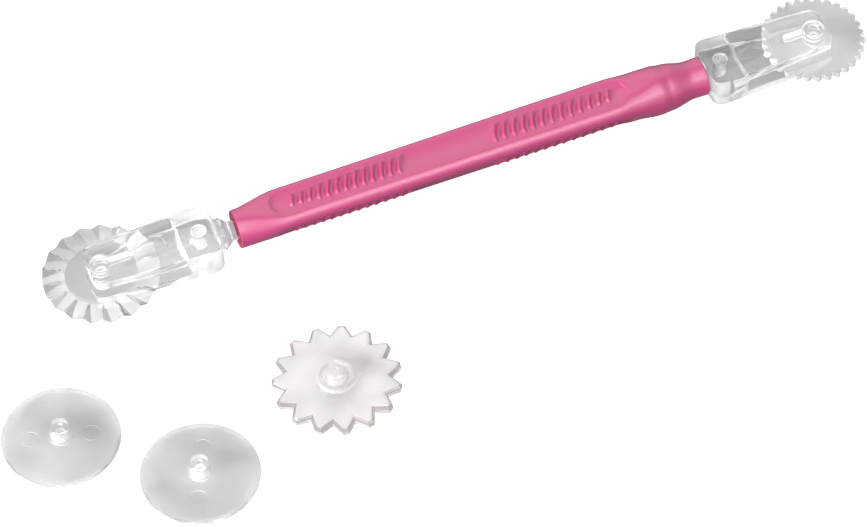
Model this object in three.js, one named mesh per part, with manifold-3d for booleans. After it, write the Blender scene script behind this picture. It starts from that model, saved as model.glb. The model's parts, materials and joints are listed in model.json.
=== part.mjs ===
// Double-ended pastry cutter wheel with three loose spare wheels, all in millimetres, +Z up.
// The tool lies along X with its axles upright: crimping wheel at -X, stitching wheel at +X.
import * as THREE from 'three';
import { mergeVertices } from 'three/addons/utils/BufferGeometryUtils.js';
import Module from 'manifold-3d';

const wasm = await Module();
wasm.setup();

// ---------------------------------------------------------------- driving dimensions
const AXLE_SPAN = 196;          // axle to axle along the tool
const PLAIN_RADIUS = 15;        // plain cutting wheels
const CRIMP_RADIUS = 15.1;      // pleated wheel on the left
const STITCH_RADIUS = 13.7;     // toothed wheel on the right
const SPUR_RADIUS = 16.4;       // coarse toothed spare
const FORK_THICKNESS = 9;
const FORK_GAP = 4;             // free height between the two arms
const FORK_TIP = 3.5;           // arm past the axle
const FORK_WALL = 21.6;         // axle to the closed end of the gap
const FORK_LENGTH = 31;         // axle to the handle end of the fork
const FORK_TIP_WIDTH = 12.8;
const FORK_END_WIDTH = 16.4;
const GRIP_START = 36;          // left axle to the left end of the grip
const CRIMP_TURN = 8;           // degrees the mounted pleats stand from the tool's long axis
const SPUR_TURN = -7;
const FIT = 0.3;                // air left between neighbouring pieces
const SIDES_LARGE = 48;         // facets round a wheel
const SIDES_SMALL = 24;         // facets round a hub, pin or bore

// loose wheels, measured from the middle of the tool
const SPARE_SPOTS = {
  spare_plain_wheel_1: [-122.6, -39.1],
  spare_plain_wheel_2: [-94.3, -62.6],
  spare_spur_wheel: [-53.4, -49.6],
};

// grip section: three corners of radius `round` at distance `reach` from the axis
const GRIP_PROFILE = [
  { at: 0, reach: 0, round: 5.1 },
  { at: 12.5, reach: 4.15, round: 2.65 },
  { at: 103, reach: 4.35, round: 2.75 },
  { at: 109, reach: 2.5, round: 4.25 },
  { at: 115.5, reach: 0.7, round: 6 },
  { at: 118.5, reach: 0.2, round: 6.05 },
  { at: 125, reach: 0, round: 5.05 },
  { at: 128.7, reach: 0, round: 5.15 },
];
const GRIP_CORNERS = 3;
const CORNER_STEPS = 3;
const FACE_STEPS = [-0.82, -0.42, 0, 0.42, 0.82];  // across a flat, -1 to 1
const POCKET = { start: 9.6, end: 107, rim: 0.12, dish: 0.45, ramp: 3 };  // dished panel cut into each flat
const RIB_HEIGHT = 0.6;
const RIB_BOW = 0.9;            // how far the middle of a rib leads its ends
const RIB_SLANT = 1.4;          // how far each end of a rib leans along the grip
const RIB_GROUPS = [
  { first: 15.5, pitch: 2.43, count: 13, shortSide: -1 },
  { first: 70.8, pitch: 2.62, count: 13, shortSide: 1 },
];
const CORE_RADIUS = 3.25;
const CORE_INSET = 1;           // core stops this far inside each end of the grip

// ---------------------------------------------------------------- sizes that follow
const HALF_SPAN = AXLE_SPAN / 2;
const ARM = (FORK_THICKNESS - FORK_GAP) / 2;
const GRIP_LENGTH = AXLE_SPAN - FORK_LENGTH - FIT - GRIP_START;
const FULL_SECTION = GRIP_PROFILE[2];
const AXIS_HEIGHT = FULL_SECTION.reach + FULL_SECTION.round;   // grip's lower edge touches z = 0
const FORK_BASE = AXIS_HEIGHT - FORK_THICKNESS / 2;
const WHEEL_BASE = FORK_BASE + ARM + 0.35;                     // clear of the lower arm
const GRIP_LEFT = -HALF_SPAN + GRIP_START;

// wheels share one hub: an upper stub runs in the upper arm, a socket sits on the lower arm's pin
const HUB = {
  boss: 3, bossTop: 3.3, stub: 2.6, stubTop: 5.75, edge: 0.4, dimple: 0.8, socket: 1.3, socketDepth: 1.8,
};
const DISC = { thickness: 1.3, bevel: 1.1, edge: 0.5, bossTop: 2 };
const AXLE_HOLE = { radius: 2.8, chamfer: 0.1, slotWidth: 2, slotEnd: 8.5 };
const LOWER_PIN = { radius: 1, height: 1.6 };
const CROSS_PIN = { at: 26.3, radius: 1.8 };
const SHANK = { tongue: 3.1, tongueStart: 23.2, collar: 4.3, stem: 2.7, plug: 2.1, plugLength: 12 };

// row frame: origin under the middle of the whole set
const leftEdge = SPARE_SPOTS.spare_plain_wheel_1[0] - PLAIN_RADIUS;
const rightEdge = HALF_SPAN + STITCH_RADIUS;
const frontEdge = SPARE_SPOTS.spare_plain_wheel_2[1] - PLAIN_RADIUS;
const backEdge = CRIMP_RADIUS;
const SHIFT_X = -(leftEdge + rightEdge) / 2;
const SHIFT_Y = -(frontEdge + backEdge) / 2;

// ---------------------------------------------------------------- solid helpers
function solid(geometry) {
  const bare = geometry.clone();
  bare.deleteAttribute('normal');
  bare.deleteAttribute('uv');
  const merged = mergeVertices(bare, 1e-5);
  return new wasm.Manifold(new wasm.Mesh({
    numProp: 3,
    vertProperties: new Float32Array(merged.attributes.position.array),
    triVerts: new Uint32Array(merged.index.array),
  }));
}

function geometryOf(manifold) {
  const mesh = manifold.getMesh();
  const geometry = new THREE.BufferGeometry();
  geometry.setAttribute('position', new THREE.BufferAttribute(new Float32Array(mesh.vertProperties), 3));
  geometry.setIndex(new THREE.BufferAttribute(new Uint32Array(mesh.triVerts), 1));
  geometry.computeVertexNormals();
  return geometry;
}

// profile of [radius, height] pairs turned about Z
function turned(profile, sides) {
  const points = profile.map(([radius, height]) => new THREE.Vector2(radius, height));
  const geometry = new THREE.LatheGeometry(points, sides);
  geometry.rotateX(Math.PI / 2);
  geometry.rotateZ(Math.PI / 2);
  return solid(geometry);
}

function cylinder(radius, low, high, sides = SIDES_SMALL) {
  return turned([[0, low], [radius, low], [radius, high], [0, high]], sides);
}

// profile of [radius, distance] pairs turned about X
function turnedAlongX(profile, sides = SIDES_SMALL) {
  return turned(profile, sides).rotate([0, 90, 0]);
}

function box(x0, x1, y0, y1, z0, z1) {
  const geometry = new THREE.BoxGeometry(x1 - x0, y1 - y0, z1 - z0);
  geometry.translate((x0 + x1) / 2, (y0 + y1) / 2, (z0 + z1) / 2);
  return solid(geometry);
}

function smooth(value, low, high) {
  return THREE.MathUtils.smoothstep(value, low, high);
}

// ---------------------------------------------------------------- grip
function gripSection(s) {
  const last = GRIP_PROFILE.length - 1;
  const place = THREE.MathUtils.clamp(s, 0, GRIP_PROFILE[last].at);
  let i = 0;
  while (i < last - 1 && place > GRIP_PROFILE[i + 1].at) i += 1;
  const a = GRIP_PROFILE[i];
  const b = GRIP_PROFILE[i + 1];
  const t = smooth(place, a.at, b.at);
  return {
    reach: THREE.MathUtils.lerp(a.reach, b.reach, t),
    round: THREE.MathUtils.lerp(a.round, b.round, t),
  };
}

// how far the dished panel lies under the plain section; `across` runs from -1 to 1 over a flat
function pocketDepth(s, across) {
  const start = smooth(s, POCKET.start, POCKET.start + POCKET.ramp);
  const end = 1 - smooth(s, POCKET.end - POCKET.ramp, POCKET.end);
  return start * end * (POCKET.rim + POCKET.dish * (1 - across * across));
}

// ribs get shorter towards the outer end of their group
function ribHalfLength(group, index) {
  const fromOuterEnd = group.shortSide < 0 ? index : group.count - 1 - index;
  return 0.58 + 0.3 * smooth(fromOuterEnd, 0, 5);
}

function ribStations() {
  const stations = [];
  for (const group of RIB_GROUPS) {
    for (let i = 0; i < group.count; i += 1) {
      const crest = group.first + i * group.pitch;
      const halfLength = ribHalfLength(group, i);
      stations.push({ s: crest - 0.3 * group.pitch, rise: 0, halfLength });
      stations.push({ s: crest, rise: RIB_HEIGHT, halfLength });
      stations.push({ s: crest + 0.3 * group.pitch, rise: 0, halfLength });
    }
  }
  return stations;
}

function gripStations() {
  const plain = [0, 2.5, 5, 7.5, POCKET.start, POCKET.start + POCKET.ramp, 105, POCKET.end];
  for (let s = POCKET.end + 2; s < GRIP_LENGTH - 0.5; s += 1.6) plain.push(s);
  plain.push(GRIP_LENGTH);
  const stations = plain.map((s) => ({ s, rise: 0, halfLength: 1 }));
  return stations.concat(ribStations()).sort((a, b) => a.s - b.s);
}

// one closed ring of points round the grip; the corners point down, back-up and front-up
function gripRing(station) {
  const fade = smooth(station.s, 3, 14) * (1 - smooth(station.s, 104, 116));
  const points = [];
  for (let corner = 0; corner < GRIP_CORNERS; corner += 1) {
    const direction = -Math.PI / 2 + (corner * 2 * Math.PI) / GRIP_CORNERS;
    for (let step = 0; step <= CORNER_STEPS; step += 1) {
      const side = (2 * step) / CORNER_STEPS - 1;
      const s = station.s + fade * (RIB_BOW + RIB_SLANT * side);
      const { reach, round } = gripSection(s);
      const turn = direction + (side * Math.PI) / GRIP_CORNERS;
      const cut = Math.abs(side) === 1 ? pocketDepth(s, 1) : 0;
      points.push([s, reach * Math.cos(direction) + (round - cut) * Math.cos(turn),
        reach * Math.sin(direction) + (round - cut) * Math.sin(turn)]);
    }
    const normal = direction + Math.PI / GRIP_CORNERS;
    for (const across of FACE_STEPS) {
      const place = station.s + fade * (RIB_BOW * across * across - RIB_SLANT * across);
      const flat = gripSection(place);
      const rib = station.rise * Math.max(0, 1 - (across / station.halfLength) ** 2);
      const height = flat.reach / 2 + flat.round - pocketDepth(place, across) + rib;
      const along = flat.reach * Math.sin(Math.PI / GRIP_CORNERS) * across;
      points.push([place, height * Math.cos(normal) - along * Math.sin(normal),
        height * Math.sin(normal) + along * Math.cos(normal)]);
    }
  }
  return points;
}

// joins rings of equal length into one closed skin with flat fans at both ends
function loft(rings) {
  const count = rings[0].length;
  const positions = rings.flat(2);
  const index = [];
  for (let i = 0; i < rings.length - 1; i += 1) {
    for (let j = 0; j < count; j += 1) {
      const a = i * count + j;
      const b = i * count + ((j + 1) % count);
      index.push(a, b, a + count, b, b + count, a + count);
    }
  }
  const lastRing = (rings.length - 1) * count;
  for (let j = 1; j < count - 1; j += 1) {
    index.push(0, j + 1, j);
    index.push(lastRing, lastRing + j, lastRing + j + 1);
  }
  const geometry = new THREE.BufferGeometry();
  geometry.setAttribute('position', new THREE.Float32BufferAttribute(positions, 3));
  geometry.setIndex(index);
  return solid(geometry);
}

function grip() {
  const bore = CORE_RADIUS + FIT;
  const mouth = SHANK.stem + FIT;
  const lip = CORE_INSET - FIT;
  const length = GRIP_LENGTH;
  const skin = loft(gripStations().map(gripRing));
  const through = turnedAlongX([
    [0, -1], [mouth, -1], [mouth, lip], [bore, lip],
    [bore, length - lip], [mouth, length - lip], [mouth, length + 1], [0, length + 1],
  ]);
  return skin.subtract(through).translate([GRIP_LEFT, 0, AXIS_HEIGHT]);
}

function core() {
  const start = GRIP_LEFT + CORE_INSET;
  const end = GRIP_LEFT + GRIP_LENGTH - CORE_INSET;
  const socket = SHANK.plug + 0.25;
  const depth = SHANK.plugLength + 1;
  return turnedAlongX([
    [0, start + depth], [socket, start + depth], [socket, start], [CORE_RADIUS, start],
    [CORE_RADIUS, end], [socket, end], [socket, end - depth], [0, end - depth],
  ]).translate([0, 0, AXIS_HEIGHT]);
}

// ---------------------------------------------------------------- fork, drawn with its axle at the origin
function forkHalfWidth(u) {
  const t = (u + FORK_TIP) / (FORK_LENGTH + FORK_TIP);
  return THREE.MathUtils.lerp(FORK_TIP_WIDTH, FORK_END_WIDTH, t) / 2;
}

function forkOutline() {
  const tipCorner = 3;
  const endCorner = 3.6;
  const tip = forkHalfWidth(-FORK_TIP);
  const end = forkHalfWidth(FORK_LENGTH);
  const shape = new THREE.Shape();
  shape.moveTo(-FORK_TIP, -tip + tipCorner);
  shape.quadraticCurveTo(-FORK_TIP, -tip, -FORK_TIP + tipCorner, -forkHalfWidth(-FORK_TIP + tipCorner));
  shape.lineTo(FORK_LENGTH - endCorner, -forkHalfWidth(FORK_LENGTH - endCorner));
  shape.quadraticCurveTo(FORK_LENGTH, -end, FORK_LENGTH, -end + endCorner);
  shape.lineTo(FORK_LENGTH, end - endCorner);
  shape.quadraticCurveTo(FORK_LENGTH, end, FORK_LENGTH - endCorner, forkHalfWidth(FORK_LENGTH - endCorner));
  shape.lineTo(-FORK_TIP + tipCorner, forkHalfWidth(-FORK_TIP + tipCorner));
  shape.quadraticCurveTo(-FORK_TIP, tip, -FORK_TIP, tip - tipCorner);
  return shape;
}

function forkBlank() {
  const edge = 0.5;
  const geometry = new THREE.ExtrudeGeometry(forkOutline(), {
    depth: FORK_THICKNESS - 2 * edge,
    bevelThickness: edge,
    bevelSize: edge,
    bevelOffset: -edge,
    bevelSegments: 2,
    curveSegments: 5,
  });
  geometry.translate(0, 0, edge);
  return solid(geometry);
}

// hole for the wheel's stub, with a spring slot running towards the handle
function axleHole() {
  const { radius, chamfer, slotWidth, slotEnd } = AXLE_HOLE;
  const low = ARM + FORK_GAP / 2;
  const top = FORK_THICKNESS;
  const hole = turned([
    [0, low], [radius, low], [radius, top - chamfer], [radius + chamfer, top],
    [radius + chamfer, top + 1], [0, top + 1],
  ], SIDES_SMALL);
  const slotHalf = slotWidth / 2;
  const slot = box(0, slotEnd - slotHalf, -slotHalf, slotHalf, low, top + 1);
  const slotRound = cylinder(slotHalf, low, top + 1, 16).translate([slotEnd - slotHalf, 0, 0]);
  return hole.add(slot).add(slotRound);
}

function fork() {
  const gap = box(-FORK_TIP - 1, FORK_WALL, -FORK_END_WIDTH, FORK_END_WIDTH, ARM, ARM + FORK_GAP);
  const pin = cylinder(LOWER_PIN.radius, ARM - 1, ARM + LOWER_PIN.height, 16);
  const boreRadius = SHANK.tongue + 0.25;
  const bore = turnedAlongX([
    [0, SHANK.tongueStart - FIT], [boreRadius, SHANK.tongueStart - FIT],
    [boreRadius, FORK_LENGTH + 1], [0, FORK_LENGTH + 1],
  ]).translate([0, 0, FORK_THICKNESS / 2]);
  const crossHole = cylinder(CROSS_PIN.radius + 0.2, -1, FORK_THICKNESS + 1).translate([CROSS_PIN.at, 0, 0]);
  return forkBlank().subtract(gap).subtract(axleHole()).subtract(bore).subtract(crossHole).add(pin);
}

// clear plug that joins fork and grip: tongue, collar, cone, stem and a plug for the core
function shank(gripDistance) {
  const collarStart = FORK_LENGTH + FIT;
  const collarEnd = Math.min(collarStart + 1.6, gripDistance - 0.1);
  const coneEnd = Math.min(collarEnd + 1.5, gripDistance);
  const hasCollar = gripDistance - collarStart > 1;
  const collar = hasCollar ? SHANK.collar : SHANK.stem;
  const plugStart = gripDistance + CORE_INSET - FIT;
  const plugEnd = plugStart + SHANK.plugLength;
  const body = turnedAlongX([
    [0, SHANK.tongueStart], [SHANK.tongue - 0.4, SHANK.tongueStart],
    [SHANK.tongue, SHANK.tongueStart + 0.4], [SHANK.tongue, collarStart],
    [collar, collarStart], [collar, collarEnd], [SHANK.stem, coneEnd],
    [SHANK.stem, plugStart], [SHANK.plug, plugStart], [SHANK.plug, plugEnd], [0, plugEnd],
  ]).translate([0, 0, FORK_THICKNESS / 2]);
  const crossHole = cylinder(CROSS_PIN.radius + 0.2, -1, FORK_THICKNESS + 1).translate([CROSS_PIN.at, 0, 0]);
  return body.subtract(crossHole);
}

function crossPin() {
  const inset = 0.3;
  const chamfer = 0.4;
  const { radius, at } = CROSS_PIN;
  return turned([
    [0, inset], [radius - chamfer, inset], [radius, inset + chamfer],
    [radius, FORK_THICKNESS - inset - chamfer], [radius - chamfer, FORK_THICKNESS - inset],
    [0, FORK_THICKNESS - inset],
  ], SIDES_SMALL).translate([at, 0, 0]);
}

// ---------------------------------------------------------------- wheels, drawn with the axle on Z and the underside at z = 0
function polar(radius, angle) {
  return [radius * Math.cos(angle), radius * Math.sin(angle)];
}

function hubTop(sideHeight, bossTop) {
  return [
    [HUB.boss, sideHeight], [HUB.boss, bossTop], [HUB.stub, bossTop],
    [HUB.stub, HUB.stubTop - HUB.edge], [HUB.stub - HUB.edge, HUB.stubTop],
    [HUB.dimple, HUB.stubTop], [0, HUB.stubTop - 0.4],
  ];
}

function hubSocket() {
  return [[0, HUB.socketDepth], [HUB.socket, HUB.socketDepth], [HUB.socket, 0]];
}

function plainWheel() {
  const { thickness, bevel, edge, bossTop } = DISC;
  const rimLow = (thickness - edge) / 2;
  return turned([
    ...hubSocket(),
    [PLAIN_RADIUS - bevel, 0], [PLAIN_RADIUS, rimLow], [PLAIN_RADIUS, rimLow + edge],
    [PLAIN_RADIUS - bevel, thickness],
    ...hubTop(thickness, bossTop),
  ], SIDES_LARGE);
}

function hub() {
  return turned([[0, 0], [HUB.boss, 0], ...hubTop(1, HUB.bossTop)], SIDES_SMALL);
}

function withHub(disc) {
  const socket = cylinder(HUB.socket, -1, HUB.socketDepth);
  return disc.add(hub()).subtract(socket);
}

// pleated ring: folds are cut into both faces of a plate, deepening towards a thin zigzag rim
function crimpWheel() {
  const folds = 18;
  const steps = 4 * folds;
  const middle = HUB.bossTop / 2;
  const plate = 2;
  const fold = 1.5;
  const rings = [[HUB.boss - 0.5, 0], [9.3, 0], [12.2, 0.5], [CRIMP_RADIUS, 1]];
  const skinRing = (side) => ([radius, share]) => {
    const points = [];
    for (let i = 0; i < steps; i += 1) {
      const angle = (2 * Math.PI * i) / steps;
      const wave = Math.sin(folds * angle) / 2;
      const height = middle + (side * (plate - fold * share)) / 2 + fold * share * wave;
      points.push([...polar(radius, angle), height]);
    }
    return points;
  };
  const under = rings.map(skinRing(-1));
  const over = rings.map(skinRing(1)).reverse();
  return withHub(loft([...under, ...over]));
}

function toothedOutline(teeth, drawTooth) {
  const shape = new THREE.Shape();
  for (let i = 0; i < teeth; i += 1) drawTooth(shape, (2 * Math.PI * i) / teeth, i === 0);
  shape.closePath();
  return shape;
}

// small round teeth that prick a stitch line
function stitchWheel() {
  const teeth = 30;
  const pitch = (2 * Math.PI) / teeth;
  const root = STITCH_RADIUS - 1.5;
  const outline = toothedOutline(teeth, (shape, angle, first) => {
    const start = polar(root, angle - pitch / 2);
    if (first) shape.moveTo(...start);
    shape.lineTo(...polar(STITCH_RADIUS - 0.45, angle - pitch * 0.24));
    shape.lineTo(...polar(STITCH_RADIUS, angle));
    shape.lineTo(...polar(STITCH_RADIUS - 0.45, angle + pitch * 0.24));
    shape.lineTo(...polar(root, angle + pitch / 2));
  });
  const thickness = 2;
  const geometry = new THREE.ExtrudeGeometry(outline, { depth: thickness, bevelEnabled: false });
  geometry.translate(0, 0, (HUB.bossTop - thickness) / 2);
  return withHub(solid(geometry));
}

// coarse flat-topped teeth with sharp valleys, and a raised collar round the hub
function spurWheel() {
  const teeth = 15;
  const pitch = (2 * Math.PI) / teeth;
  const root = SPUR_RADIUS - 2.8;
  const tipHalf = 0.85 / SPUR_RADIUS;
  const outline = toothedOutline(teeth, (shape, angle, first) => {
    const start = polar(root, angle - pitch / 2);
    if (first) shape.moveTo(...start);
    shape.lineTo(...polar(SPUR_RADIUS, angle - tipHalf));
    shape.lineTo(...polar(SPUR_RADIUS, angle + tipHalf));
    shape.lineTo(...polar(root, angle + pitch / 2));
  });
  const thickness = 2.4;
  const rise = 3.7;
  const geometry = new THREE.ExtrudeGeometry(outline, { depth: thickness, bevelEnabled: false });
  const collar = turned([
    [0, 1], [5.1, 1], [5.1, thickness], [4.85, rise], [4.2, rise], [3.7, thickness], [0, thickness],
  ], SIDES_LARGE);
  return withHub(solid(geometry).add(collar));
}

// ---------------------------------------------------------------- assembly
const set = new THREE.Group();
set.name = 'pastry_cutter_wheel_set';

function place(name, manifold, look) {
  const moved = manifold.translate([SHIFT_X, SHIFT_Y, 0]);
  const mesh = new THREE.Mesh(geometryOf(moved), new THREE.MeshStandardMaterial(look));
  mesh.name = name;
  set.add(mesh);
}

const PINK = { color: 0xd9578f, roughness: 0.55, metalness: 0 };
const CORE_WHITE = { color: 0xe8e6e2, roughness: 0.5, metalness: 0 };
const CLEAR = { color: 0xdfe3e6, roughness: 0.08, metalness: 0, transparent: true, opacity: 0.5 };
const CLEAR_WARM = { color: 0xe6dfdb, roughness: 0.15, metalness: 0, transparent: true, opacity: 0.55 };

// left end as drawn, right end turned half a turn about Z
function atLeftAxle(manifold, height) {
  return manifold.translate([-HALF_SPAN, 0, height]);
}

function atRightAxle(manifold, height) {
  return manifold.rotate([0, 0, 180]).translate([HALF_SPAN, 0, height]);
}

place('grip', grip(), PINK);
place('grip_core', core(), CORE_WHITE);
place('fork_left', atLeftAxle(fork(), FORK_BASE), CLEAR);
place('fork_right', atRightAxle(fork(), FORK_BASE), CLEAR);
place('shank_left', atLeftAxle(shank(GRIP_START), FORK_BASE), CLEAR);
place('shank_right', atRightAxle(shank(FORK_LENGTH + FIT), FORK_BASE), CLEAR);
place('cross_pin_left', atLeftAxle(crossPin(), FORK_BASE), CLEAR);
place('cross_pin_right', atRightAxle(crossPin(), FORK_BASE), CLEAR);
place('crimp_wheel', atLeftAxle(crimpWheel().rotate([0, 0, CRIMP_TURN]), WHEEL_BASE), CLEAR);
place('stitch_wheel', atRightAxle(stitchWheel(), WHEEL_BASE), CLEAR);

function spare(name, manifold, look) {
  const [x, y] = SPARE_SPOTS[name];
  place(name, manifold.translate([x, y, 0]), look);
}

spare('spare_plain_wheel_1', plainWheel(), CLEAR);
spare('spare_plain_wheel_2', plainWheel(), CLEAR);
spare('spare_spur_wheel', spurWheel().rotate([0, 0, SPUR_TURN]), CLEAR_WARM);

export default set;
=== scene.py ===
import json
import math

import bmesh
import bpy
from mathutils import Matrix, Vector


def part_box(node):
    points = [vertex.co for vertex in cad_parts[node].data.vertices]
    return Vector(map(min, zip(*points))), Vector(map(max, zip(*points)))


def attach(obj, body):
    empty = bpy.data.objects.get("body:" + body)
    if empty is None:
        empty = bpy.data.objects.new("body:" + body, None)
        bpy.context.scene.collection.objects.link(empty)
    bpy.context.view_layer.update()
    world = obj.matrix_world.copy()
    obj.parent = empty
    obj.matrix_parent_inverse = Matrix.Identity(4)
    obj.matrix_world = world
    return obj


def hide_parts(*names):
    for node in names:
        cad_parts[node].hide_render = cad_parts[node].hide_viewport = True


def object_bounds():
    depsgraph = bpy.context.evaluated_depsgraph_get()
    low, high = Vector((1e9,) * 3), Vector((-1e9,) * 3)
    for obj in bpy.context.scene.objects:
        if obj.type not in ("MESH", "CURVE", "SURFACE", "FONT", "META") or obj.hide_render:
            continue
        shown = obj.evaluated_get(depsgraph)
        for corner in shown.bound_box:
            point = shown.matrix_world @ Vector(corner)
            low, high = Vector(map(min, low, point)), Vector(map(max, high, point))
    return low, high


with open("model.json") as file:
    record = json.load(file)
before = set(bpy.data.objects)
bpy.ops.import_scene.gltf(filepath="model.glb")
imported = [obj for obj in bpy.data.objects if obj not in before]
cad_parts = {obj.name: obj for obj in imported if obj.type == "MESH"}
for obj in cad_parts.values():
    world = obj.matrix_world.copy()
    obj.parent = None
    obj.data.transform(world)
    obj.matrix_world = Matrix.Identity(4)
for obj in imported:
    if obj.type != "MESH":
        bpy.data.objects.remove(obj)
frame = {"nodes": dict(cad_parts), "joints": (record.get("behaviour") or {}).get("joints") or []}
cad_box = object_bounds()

# ------------------------------------------------------------------ driving sizes, in millimetres
FORK_THICKNESS = 9.0
FORK_GAP = 4.0
FORK_TIP = 3.5                   # from the axle out to the arms' ends
FORK_WALL = 21.6                 # from the axle to the wall that closes the gap
FORK_LENGTH = 31.0               # from the axle to the end by the grip
FORK_TIP_WIDTH = 12.8
FORK_END_WIDTH = 16.4
FORK_TIP_BEND = 3.0
FORK_END_BEND = 3.8
ARM = (FORK_THICKNESS - FORK_GAP) / 2
GAP_CORNER = 1.0
EDGE_ROUND = 0.5
CUT_ROUND = 0.12

PLAIN_RADIUS = 15.0
CRIMP_RADIUS = 15.08
STITCH_RADIUS = 13.68
SPUR_RADIUS = 16.38
DISC_THICKNESS = 1.3
DISC_BEVEL = 1.1
PLEAT_START = 9.3
SPUR_SHOULDER = 12.0
CRIMP_TURN = 8.0                 # degrees about the axle
SPUR_TURN = -7.0
WHEEL_LIFT = ARM + 0.35

HUB_BOSS = 3.0
HUB_BOSS_TOP = 3.3
HUB_STUB = 2.6
HUB_TOP = 5.75
HUB_SOCKET = 1.3
HUB_SOCKET_DEPTH = 1.8

HOLE_RADIUS = 2.8
SLOT_WIDTH = 2.0
SLOT_END = 8.5
LOWER_PIN_RADIUS = 1.0
LOWER_PIN_HEIGHT = 1.6           # above the lower arm
LOWER_PIN_ROOT = 0.5             # sunk in the arm, to join the two
FORK_MARK = {"radius": 2.7, "depth": 0.2, "at": 14.6}
DISC_MARK = {"radius": 2.25, "depth": 0.3, "at": 7.6}

PIN_AT = 26.3
PIN_RADIUS = 1.8
PIN_CLEARANCE = 0.2
PIN_INSET = 0.3                  # below the fork's faces

SHANK_GAP = 0.03                 # between the fork's end and the collar
COLLAR_RADIUS = 4.3
COLLAR_LENGTH = 1.7
CONE_RADIUS = 2.85
CONE_LENGTH = 1.5
STEM_RADIUS = 2.7
PLUG_START = 0.7                 # inside the grip's end
PLUG_RADIUS = 2.1
PLUG_LENGTH = 12.0

# Along the grip: place, how far the corners' centres are from the axis, radius of the corners.
GRIP_PROFILE = [
    (0, 0, 5.1), (12.5, 4.15, 2.65), (103, 4.35, 2.75), (109, 2.5, 4.25),
    (115.5, 0.7, 6), (118.5, 0.2, 6.045), (125, 0, 5.05), (128.7, 0, 5.15),
]
GRIP_END_ROUND = 0.2
GRIP_RING_SPACING = 0.28
POCKET = {"start": 9.6, "start_round": 6.5, "end": 107.5, "end_round": 3.0, "rim": 0.12, "dish": 0.45}
POCKET_REACH = 2.0               # in halves of the flat, so the pocket is open at both long sides
POCKET_SIDE = 0.9                # width of the slope at its rounded ends, in the same unit
DISH_HALF = 1.2
RIB_GROUPS = [(15.5, 2.43, 13, -1), (70.8, 2.62, 13, 1)]     # first crest, pitch, count, short ribs' side
RIB_BOW = 0.9
RIB_SLANT = 1.4
RIB_HEIGHT = 1.0
RIB_SHORT = 0.60                 # half the shortest rib's length, as a share of half the flat
RIB_GAIN = 0.32                  # how much more the longest have
RIB_GAIN_OVER = 5                # ribs from the short end to the longest
RIB_STEEP = 0.40                 # share of the pitch taken by a rib's steep side
BORE_RADIUS = 3.55
MOUTH_RADIUS = 3.0
LIP_LENGTH = 0.7

ROUND = 96                       # sides round a large turned shape
PAST = 1.0                       # how far a cutter goes past the face it cuts
WELD_DISTANCE = 0.002
MM = 0.001


# ------------------------------------------------------------------ small helpers
def smooth(value, low, high):
    """0 up to `low`, 1 from `high`, with a soft step between them."""
    t = min(1.0, max(0.0, (value - low) / (high - low)))
    return t * t * (3 - 2 * t)


def lerp(a, b, t):
    return a + (b - a) * t


def new_object(name, vertices, faces):
    """Linked mesh object with these vertices and faces."""
    mesh = bpy.data.meshes.new(name)
    mesh.from_pydata([Vector(v) for v in vertices], [], faces)
    mesh.update()
    obj = bpy.data.objects.new(name, mesh)
    bpy.context.scene.collection.objects.link(obj)
    return obj


def lathe(name, profile, sides=ROUND):
    """Closed solid turned about Z from (radius, height) pairs that start and end on the axis."""
    vertices = []
    rings = []
    for radius, height in profile:
        if radius < 1e-6:
            rings.append([len(vertices)])
            vertices.append((0, 0, height))
            continue
        rings.append(list(range(len(vertices), len(vertices) + sides)))
        for i in range(sides):
            angle = 2 * math.pi * i / sides
            vertices.append((radius * math.cos(angle), radius * math.sin(angle), height))
    faces = []
    for a, b in zip(rings, rings[1:]):
        for i in range(sides):
            j = (i + 1) % sides
            if len(a) == 1 and len(b) == 1:
                continue
            if len(a) == 1:
                faces.append((a[0], b[j], b[i]))
            elif len(b) == 1:
                faces.append((a[i], a[j], b[0]))
            else:
                faces.append((a[i], a[j], b[j], b[i]))
    return new_object(name, vertices, faces)


def prism(name, outline, low, high):
    """Upright solid with the anticlockwise `outline` as its plan."""
    count = len(outline)
    vertices = [(x, y, low) for x, y in outline] + [(x, y, high) for x, y in outline]
    faces = [tuple(reversed(range(count))), tuple(range(count, 2 * count))]
    faces += [(i, (i + 1) % count, (i + 1) % count + count, i + count) for i in range(count)]
    return new_object(name, vertices, faces)


def post(radius, low, high, x=0.0, y=0.0, sides=48):
    """Upright cylinder, to cut with or to join on."""
    made = lathe("cutter", [(0, low), (radius, low), (radius, high), (0, high)], sides)
    made.data.transform(Matrix.Translation((x, y, 0)))
    return made


def polar(radius, angle):
    return radius * math.cos(angle), radius * math.sin(angle)


def apply_modifiers(obj):
    """Replaces the mesh by what its modifiers make of it."""
    graph = bpy.context.evaluated_depsgraph_get()
    made = bpy.data.meshes.new_from_object(obj.evaluated_get(graph))
    obj.modifiers.clear()
    old = obj.data
    obj.data = made
    bpy.data.meshes.remove(old)


def combine(obj, other, operation="DIFFERENCE"):
    """Cuts other out of obj, or joins it on, and removes other."""
    modifier = obj.modifiers.new("combine", "BOOLEAN")
    modifier.operation = operation
    modifier.solver = "EXACT"
    modifier.object = other
    apply_modifiers(obj)
    bpy.data.objects.remove(other)


def soften(obj, width, segments=2, angle=50):
    """Rounds the sharp edges and leaves the flats flat."""
    modifier = obj.modifiers.new("soften", "BEVEL")
    modifier.width = width
    modifier.segments = segments
    modifier.limit_method = "ANGLE"
    modifier.angle_limit = math.radians(angle)
    modifier.use_clamp_overlap = False
    modifier.harden_normals = True
    for polygon in obj.data.polygons:
        polygon.use_smooth = True
    apply_modifiers(obj)


def weld(obj):
    """Merges doubled points and drops the slivers that cuts and joins leave."""
    working = bmesh.new()
    working.from_mesh(obj.data)
    bmesh.ops.remove_doubles(working, verts=working.verts, dist=WELD_DISTANCE)
    bmesh.ops.dissolve_degenerate(working, edges=working.edges, dist=WELD_DISTANCE)
    working.to_mesh(obj.data)
    working.free()


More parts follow.
